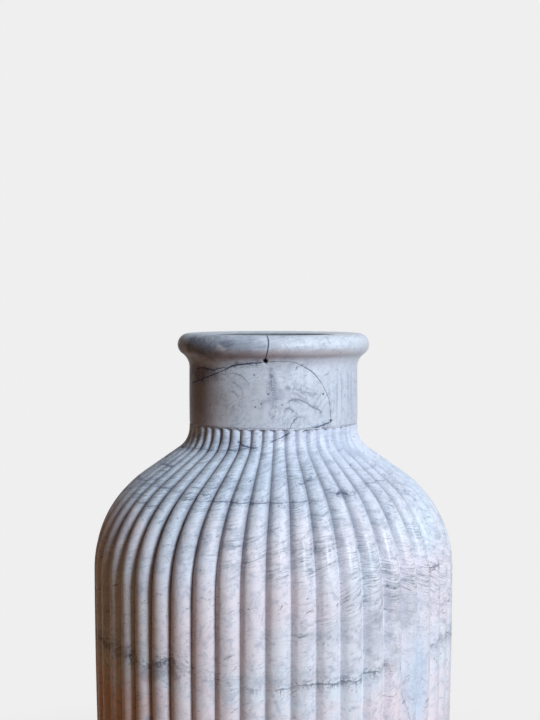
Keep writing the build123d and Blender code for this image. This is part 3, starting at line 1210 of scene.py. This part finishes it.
NECK_SPECKLES = (
    Blot(0, 212, 900, 20, 0.2, 0.3), Blot(-1.8, 217.5, 2.8, 10, 0.9, 0.6), Blot(0.6, 208, 2.6, 9, 0.7, 0.6),
    Blot(-45, 231, 18, 5, 0.8, 0.8), Blot(-58, 219, 19, 5, 0.9, 0.6), Blot(16, 201, 10, 4, 0.5, 0.8),
    Blot(37, 199.5, 4, 2, 0.9, 0.8), Blot(0, 231, 900, 5, 0.25, 0.6),
)
NECK_LAYERS = (
    Blot(-35, 230, 30, 5, 0.6, 0.5), Blot(20, 231, 40, 4.5, 0.3, 0.5),
)
NECK_DRIPS = (
    Blot(58, 210, 24, 16, 1, 0.3), Blot(-1, 214, 4, 12, 0.5, 0.4), Blot(-60, 208, 22, 14, 0.35, 0.4),
    Blot(180, 212, 50, 18, 0.4, 0.5),
)
NECK_SWIRLS = (
    Blot(18, 207, 20, 13, 0.65, 0.4), Blot(-24, 211, 16, 12, 0.5, 0.4), Blot(120, 212, 40, 14, 0.5, 0.5),
    Blot(-130, 210, 40, 14, 0.5, 0.5),
)
BODY_VEINS = (
    Vein(((-66.9, 112.5), (-59.7, 112.2), (-54.3, 112.2), (-50.8, 111.9), (-47.8, 110.8), (-44, 109.8),
         (-41.8, 108.8), (-38.9, 110.3), (-35.7, 111.3), (-32, 113.6), (-28.5, 113.1), (-24.6, 109.2)),
         0.42, 4.6, 0.5, 0.85, 1.6, 0, 0.02, 0.4, 0.8),
    Vein(((-26, 110), (-19.9, 108), (-15.3, 106.2), (-9.5, 105.9), (-5.2, 105.4), (-1, 105.1),
         (3.3, 105.5)), 0.3, 3.4, 0.25, 0.5, 1, 0, 0.05, 0.3, 0.8),
    Vein(((-1, 105.1), (3.3, 105.5), (7.5, 106.8), (11.9, 106.9), (16.3, 106.9), (20.9, 107.1), (25, 106.8),
         (27.6, 108.7), (29.7, 109.1), (32.5, 108.9), (34.3, 110.9), (36.9, 111.1)), 0.38, 3.4, 0.65, 0.62,
         1, 0, 0.04, 0.6, 0.6),
    Vein(((55, 113.2), (59.1, 112.8), (62.2, 113.9), (67.1, 112.8), (69.5, 113.7), (74.6, 112.9), (90, 110),
         (105, 114), (120, 110.5), (135, 108), (150, 112), (165, 110), (180, 109)), 0.36, 3, 0.65, 0.7, 0.9,
         0, 0.02, 0.5, 0.6),
    Vein(((-180, 109), (-165, 107), (-150, 111), (-135, 108), (-120, 112.5), (-105, 109), (-90, 113),
         (-78, 111.5), (-66, 112.4)), 0.36, 3, 0.65, 0.7, 0.9, 0, 0.02, 0.5, 0.6),
    Vein(((-42, 172), (-30, 172.2), (-15, 172.3), (-4, 172.3), (6, 172.5), (12, 172.7), (18, 173.1),
         (20.5, 174.6), (25, 175), (28, 174.5), (31, 174), (34, 174.8), (40, 176), (46, 177), (54, 177.3),
         (70, 177)), 0.26, 2.2, 0.65, 0.5, 0.35, 0, 0.1, 0, 0.6),
    Vein(((24, 174.5), (26.5, 175), (28.5, 174.7), (30.5, 174.1)), 0.6, 1.8, 0.8, 0.6, 0.3, 0, 0.15),
    Vein(((-84, 188), (-70, 188), (-62, 188.6), (-52, 189), (-45, 188.8), (-38, 189.3)), 0.36, 2, 0.75, 0.5,
         0.3, 0, 0.1, 0, 0.4),
    Vein(((-90, 184.5), (-74, 181.4), (-66, 182), (-60, 180.5), (-55, 178.4)), 0.3, 2, 0.55, 0.4, 0.5, 0,
         0.15, 0, 0.5),
    Vein(((-95, 176), (-80, 175), (-70, 175.5), (-60, 174.8), (-50, 175), (-43, 174.6)), 0.3, 2.4, 0.6, 0.5,
         0.4, 0, 0.1, 0, 0.4),
    Vein(((-72, 170.5), (-64, 171), (-58, 169), (-52, 168.3), (-46, 168.2), (-40, 167.4)), 0.36, 2.4, 0.45,
         0.3, 0.8, 0, 0.15, 0, 0.6),
    Vein(((5, 177.8), (10, 178), (14, 178.8), (17, 180.5), (19, 182.5), (20, 185)), 0.26, 2.4, 0.45, 0.45,
         0.3, 0, 0.15, 0, 0.5),
    Vein(((36, 183), (44, 182), (52, 181.4), (60, 182), (75, 184)), 0.26, 2, 0.35, 0.3, 0.5, 0, 0.2, 0,
         0.7),
    Vein(((34.1, 99), (37.1, 98.3), (39.5, 100.4), (40.2, 104.1)), 0.25, 1.5, 0.55, 0.3, 0.4, 0, 0.15),
    Vein(((54.2, 142.9), (57.7, 143.6), (60.3, 144.2), (62.7, 145.4), (64.2, 147)), 0.45, 2.6, 0.8, 0.7,
         0.5, 0, 0.2, 0.3),
    Vein(((54.4, 138.4), (55.9, 139.8), (58.1, 142), (60, 144)), 0.4, 1.8, 0.7, 0.4, 0.3, 0, 0.2),
    Vein(((40.1, 111.9), (41.5, 103.8), (43, 95.7), (45, 87.3), (46, 80)), 0.24, 1.2, 0.45, 0.25, 0.15, 90,
         0.1),
    Vein(((-15.2, 190.6), (-10.2, 191), (-7.2, 191.8), (-3.4, 192.4), (0.4, 193.4), (3.6, 194.3),
         (7.5, 195.3), (11.4, 196.8)), 0.3, 1.6, 0.85, 0.5, 0.4, 0, 0.05, 0, 0.95),
    Vein(((-24.5, 192.7), (-21.6, 192), (-18.7, 191.3), (-15.2, 190.6)), 0.34, 1.5, 0.95, 0.6, 0.25, 0,
         0.06),
    Vein(((-37.9, 189.5), (-32.8, 189), (-28.8, 189.5), (-23.2, 189.3), (-20.8, 189.7), (-18.3, 190.2),
         (-15.2, 190.6)), 0.28, 1.5, 0.6, 0.5, 0.3, 0, 0.06, 0, 0.8),
    Vein(((18.1, 196.7), (23.7, 197.4), (30.3, 198.4)), 0.36, 2, 0.8, 0.6, 0.3, 0, 0.1),
)
BODY_STAINS_AND_PAINTED_LIGHT = (
    Blot(0, 192, 900, 36, 0.6, 0.4, Tone.BLUE), Blot(14, 124, 60, 24, 0.2, 0.5, Tone.ROSE),
    Blot(-34, 148, 28, 24, 0.5, 0.4, Tone.BLUE), Blot(-24, 116, 46, 16, 0.3, 0.4, Tone.ROSE),
    # The grey patch at -64 degrees is painted cool shade on the left shoulder
    Blot(-64, 160, 20, 12, 0.3, 0.5, Tone.GREY), Blot(-35, 190, 22, 6, 0.35, 0.8, Tone.GREY),
    # The umber patch at -78 degrees is painted warm shade on the left side
    Blot(52, 190, 14, 7, 0.3, 0.8, Tone.GREY), Blot(-78, 130, 34, 34, 0.25, 0.3, Tone.UMBER),
    Blot(0, 45, 900, 72, 0.62, 0.4, Tone.ROSE), Blot(-26, 84, 50, 26, 0.4, 0.4, Tone.ROSE),
    # The ochre patch at -70 degrees is a painted warm reflection on the lower left
    Blot(-70, 80, 50, 35, 0.58, 0.3, Tone.OCHRE), Blot(-44, 94, 26, 14, 0.4, 0.5, Tone.ROSE),
    Blot(62, 101, 12, 15, 0.12, 0.3, Tone.ROSE), Blot(48.5, 100, 10, 30, 0.9, 0.12, Tone.BLUE),
    Blot(33, 97, 13, 12, 0.4, 0.3, Tone.ROSE), Blot(28, 174.6, 6, 2.5, 0.4, 1.2, Tone.GREY),
    Blot(17, 126, 16, 6, 0.14, 1.2, Tone.GREY), Blot(30, 123, 10, 9, 0.2, 1.2, Tone.GREY),
    Blot(42, 132, 16, 10, 0.2, 1.2, Tone.GREY), Blot(-37, 109, 12, 6, 0.35, 1.3, Tone.GREY),
    Blot(4, 109, 24, 4, 0.1, 1.2, Tone.GREY), Blot(69.5, 114.5, 6, 3, 0.4, 1.2, Tone.GREY),
    Blot(120, 112, 120, 5, 0.25, 1, Tone.GREY), Blot(-120, 112, 120, 5, 0.25, 1, Tone.GREY),
)
BODY_SPECKLES = (
    Blot(-33, 112, 12, 6, 0.9, 1), Blot(33, 109, 8, 3, 0.8, 1), Blot(14, 107, 18, 3, 0.6, 1),
    Blot(69, 114, 7, 3, 0.8, 1), Blot(56.4, 144, 5, 4, 0.8, 1), Blot(28.3, 174.2, 7, 2.5, 0.8, 1),
    Blot(0, 170, 900, 24, 0.15, 0.6), Blot(40, 140, 60, 30, 0.2, 0.6),
)
BODY_LAYERS = (
    Blot(0, 178, 900, 20, 0.2, 0.5), Blot(-52, 176, 30, 10, 0.35, 0.8), Blot(22, 156, 60, 22, 0.7, 0.5),
    Blot(42, 136, 36, 22, 0.5, 0.5), Blot(70, 142, 36, 34, 0.5, 0.5), Blot(-34, 112, 14, 6, 0.4, 1),
    Blot(4, 109, 34, 4, 0.15, 1), Blot(-28, 134, 40, 16, -0.4, 0.6), Blot(56, 187, 30, 8, -0.8, 0.4),
    Blot(48.5, 97, 10, 22, -1, 0.1), Blot(-150, 145, 60, 25, 0.5, 0.6), Blot(140, 150, 50, 20, 0.4, 0.6),
)


@dataclass(frozen=True)
class Lamp:
    """An area lamp that points at the vase's axis.

    Args:
        name: Name of the lamp.
        watts: Its power.
        size: Its width and height, in metres.
        azimuth: Degrees from the front to the right.
        elevation: Degrees above the level.
        distance: Metres from the point that it lights.
        aim_z: Height of that point, in metres.
        color: Colour of its light.
        glossy: Whether it shows in gloss.
    """

    name: str
    watts: float
    size: Point
    azimuth: float
    elevation: float
    distance: float
    aim_z: float = 0.14
    color: Color = (0.89, 0.96, 1.0)
    glossy: bool = False

    def hang(self) -> None:
        """Put the lamp in the scene."""
        light = bpy.data.lights.new(self.name, "AREA")
        light.shape = "RECTANGLE"
        light.size, light.size_y = self.size
        light.energy = self.watts
        light.color = self.color
        lamp = add_object(self.name, light)
        side, rise = math.radians(self.azimuth), math.radians(self.elevation)
        away = Vector((math.sin(side) * math.cos(rise), -math.cos(side) * math.cos(rise), math.sin(rise)))
        lamp.visible_camera = False
        lamp.visible_glossy = self.glossy
        lamp.location = Vector((0.0, 0.0, self.aim_z)) + away * self.distance
        lamp.rotation_euler = away.to_track_quat("Z", "Y").to_euler()


LAMPS = (
    Lamp("key_window", 10.4, (0.26, 0.45), 33.0, 27.0, 1.0, glossy=True),
    Lamp("side_fill", 1.65, (0.7, 0.9), 85.0, 15.0, 1.0),
    Lamp("back_panel", 2.3, (0.5, 0.9), 150.0, 25.0, 1.1),
    Lamp("rear_fill", 4.0, (0.6, 0.9), -168.0, 20.0, 1.1),
    Lamp("warm_bounce", 0.1, (0.5, 0.05), -70.0, -7.0, 0.42, 0.09, (1.0, 0.4, 0.1)),
    Lamp("top_sky", 0.45, (0.8, 0.8), -35.0, 68.0, 1.1, 0.17),
)


@dataclass(frozen=True)
class Studio:
    """Plain soft studio: a broad key from the right, weaker lamps all round, pale floor and backdrop."""

    pale: tuple[float, ...] = (0.863, 0.863, 0.863, 1.0)
    shade: tuple[float, ...] = (0.05, 0.026, 0.012, 1.0)
    floor_matte: tuple[float, ...] = (0.34, 0.34, 0.34, 1.0)
    floor_glow: tuple[float, ...] = (0.55, 0.55, 0.55, 1.0)
    floor_bounce: tuple[float, ...] = (0.24, 0.13, 0.06, 1.0)
    floor_radius: float = 30.0
    floor_z: float = -0.0002
    shadow_reach: Point = (0.1, 0.3)
    lens: float = 67.6
    frame_size: Point = (27.0, 36.0)
    camera_place: Triple = (-0.00143, -0.5667, 0.2503)
    camera_dip: float = 0.0469

    def seen_directly(self, bench: NodeBench) -> Wire:
        """Give 1 for what the camera sees straight, in gloss or through glass, and 0 for light."""
        path = bench.node("ShaderNodeLightPath").outputs
        rays = [Wire(bench, path[f"Is {kind} Ray"]) for kind in ("Camera", "Glossy", "Transmission")]
        return bench.math("MAXIMUM", bench.math("MAXIMUM", rays[0], rays[1]), rays[2])

    def light_world(self) -> None:
        """Make the surroundings pale to look at and a dim warm shade as light."""
        world = bpy.data.worlds.new("studio")
        world.use_nodes = True
        bpy.context.scene.world = world
        bench = NodeBench(world.node_tree)
        shown = bench.tint(self.seen_directly(bench), self.shade, self.pale)
        bench.feed(world.node_tree.nodes["Background"], {"Color": shown})

    def lay_floor(self) -> Object:
        """Lay a wide pale floor that keeps the shadow beside the vase."""
        mesh = bpy.data.meshes.new("studio_floor")
        work = bmesh.new()
        bmesh.ops.create_circle(work, cap_ends=True, segments=96, radius=self.floor_radius)
        work.to_mesh(mesh)
        work.free()
        floor = add_object("studio_floor", mesh)
        floor.location.z = self.floor_z
        material, bench, shader = open_material("studio_floor")
        bench.tree.nodes.remove(shader)
        matte = bench.run("ShaderNodeBsdfDiffuse", {"Color": self.floor_matte})
        soft = bench.run("ShaderNodeEmission", {"Color": self.floor_glow})
        lit = bench.run("ShaderNodeAddShader", (matte, soft))
        glow = bench.run("ShaderNodeEmission", {"Color": self.pale})
        dim = bench.run("ShaderNodeBsdfDiffuse", {"Color": self.floor_bounce})
        x, y, _ = bench.parts(bench.run("ShaderNodeTexCoord", out="Object"))
        wide = bench.ramp(bench.math("SQRT", x * x + y * y), *self.shadow_reach)
        shown = bench.run("ShaderNodeMixShader", (wide, lit, glow))
        whole = bench.run("ShaderNodeMixShader", (self.seen_directly(bench), dim, shown))
        bench.feed(bench.tree.nodes["Material Output"], {"Surface": whole})
        mesh.materials.append(material)
        return floor

    def place_camera(self) -> None:
        """Set the camera where the photograph was taken."""
        lens = bpy.data.cameras.new("photo_camera")
        lens.sensor_fit = "VERTICAL"
        lens.sensor_width, lens.sensor_height = self.frame_size
        lens.lens = self.lens
        lens.clip_start = 0.01
        camera = add_object("photo_camera", lens)
        camera.location = self.camera_place
        camera.rotation_euler = (math.pi / 2.0 - self.camera_dip, 0.0, 0.0)
        bpy.context.scene.camera = camera

    def build(self) -> None:
        """Set up the camera, lamps, surroundings and floor."""
        self.place_camera()
        for lamp in LAMPS:
            lamp.hang()
        self.light_world()
        self.lay_floor()
        bpy.context.scene.view_settings.view_transform = "Standard"


def plain_material(name: str, low: Color, high: Color, scale: float, rough: Point,
                   depth: float) -> Material:
    """Make a mottled material for a small piece.

    Args:
        name: Name of the material.
        low: Darker display colour.
        high: Paler display colour.
        scale: Patches in a metre.
        rough: Lowest and highest roughness.
        depth: Depth of its texture, in millimetres.

    Returns:
        The material.
    """
    material, bench, shader = open_material(name)
    spot = bench.run("ShaderNodeTexCoord", out="Object")
    patch = bench.grain(spot, scale, 5.0, 0.65, 0.2)
    relief = bench.run("ShaderNodeBump", {"Strength": 0.6, "Distance": depth * MM,
                                          "Height": bench.grain(spot, scale * 3.0, 4.0, 0.7)}, "Normal")
    color = bench.tint(bench.ramp(patch, 0.3, 0.7), rgb(*low), rgb(*high))
    bench.feed(shader, {"Base Color": color, "Roughness": bench.ramp(patch, 0.3, 0.7, *rough),
                        "Normal": relief})
    return material


def hand_over(piece: Object, node: str) -> None:
    """Fix a finished piece to the vase in place of its CAD node."""
    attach(piece, "root")
    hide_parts(node)
    piece.data.calc_loop_triangles()
    LOG.info("%s stands for %s with %d triangles", piece.name, node, len(piece.data.loop_triangles))


def dress(piece: Object, material: Material) -> None:
    """Give a CAD node that stays in view its finished material."""
    piece.data.materials.clear()
    piece.data.materials.append(material)
    LOG.info("%s keeps its CAD shape in %s", piece.name, material.name)


def main() -> None:
    """Build the vase's looks over its frame."""
    logging.basicConfig(level=logging.INFO, format="%(message)s")
    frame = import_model()
    for default in list(bpy.data.objects):
        if default.name in {"Cube", "Light", "Camera"}:
            bpy.data.objects.remove(default)
    Studio().build()
    groups = MarbleGroups()
    body_finish = MarbledCast(
        "marbled_body", groups, BODY_VEINS, round_radius=70.0, stains=BODY_STAINS_AND_PAINTED_LIGHT, layered=BODY_LAYERS,
        speckled=BODY_SPECKLES, calm_below=107.0, groove=True).build()
    neck_finish = MarbledCast(
        "marbled_neck", groups, NECK_VEINS, round_radius=35.2, cool=(203, 216, 232), rose=(200, 207, 221),
        stains=NECK_STAINS_AND_SHADES, layered=NECK_LAYERS, speckled=NECK_SPECKLES, drips=NECK_DRIPS,
        swirls=NECK_SWIRLS, streak=0.15, pit=True, seed=5.0).build()
    plug_finish = MarbledCast("marbled_plug", groups, seed=8.0).build()
    filler = plain_material("joint_filler", (132, 136, 148), (212, 220, 234), scale=520.0,
                            rough=(0.7, 0.9), depth=0.2)
    felt = plain_material("felt", (48, 46, 44), (92, 88, 84), scale=1600.0, rough=(0.9, 1.0), depth=0.4)
    sealer = plain_material("sealer", (168, 170, 174), (204, 206, 210), scale=60.0, rough=(0.22, 0.4),
                            depth=0.3)
    hand_over(ReededBody().build(body_finish), "body_shell")
    hand_over(RolledNeck().build(neck_finish), "neck_collar")
    hand_over(JointFiller().build(filler), "neck_joint_adhesive")
    hand_over(FeltFeet().build(felt), "foot_pads")
    dress(frame["nodes"]["base_plug"], plug_finish)
    dress(frame["nodes"]["sealing_coat"], sealer)


if __name__ == "__main__":
    main()
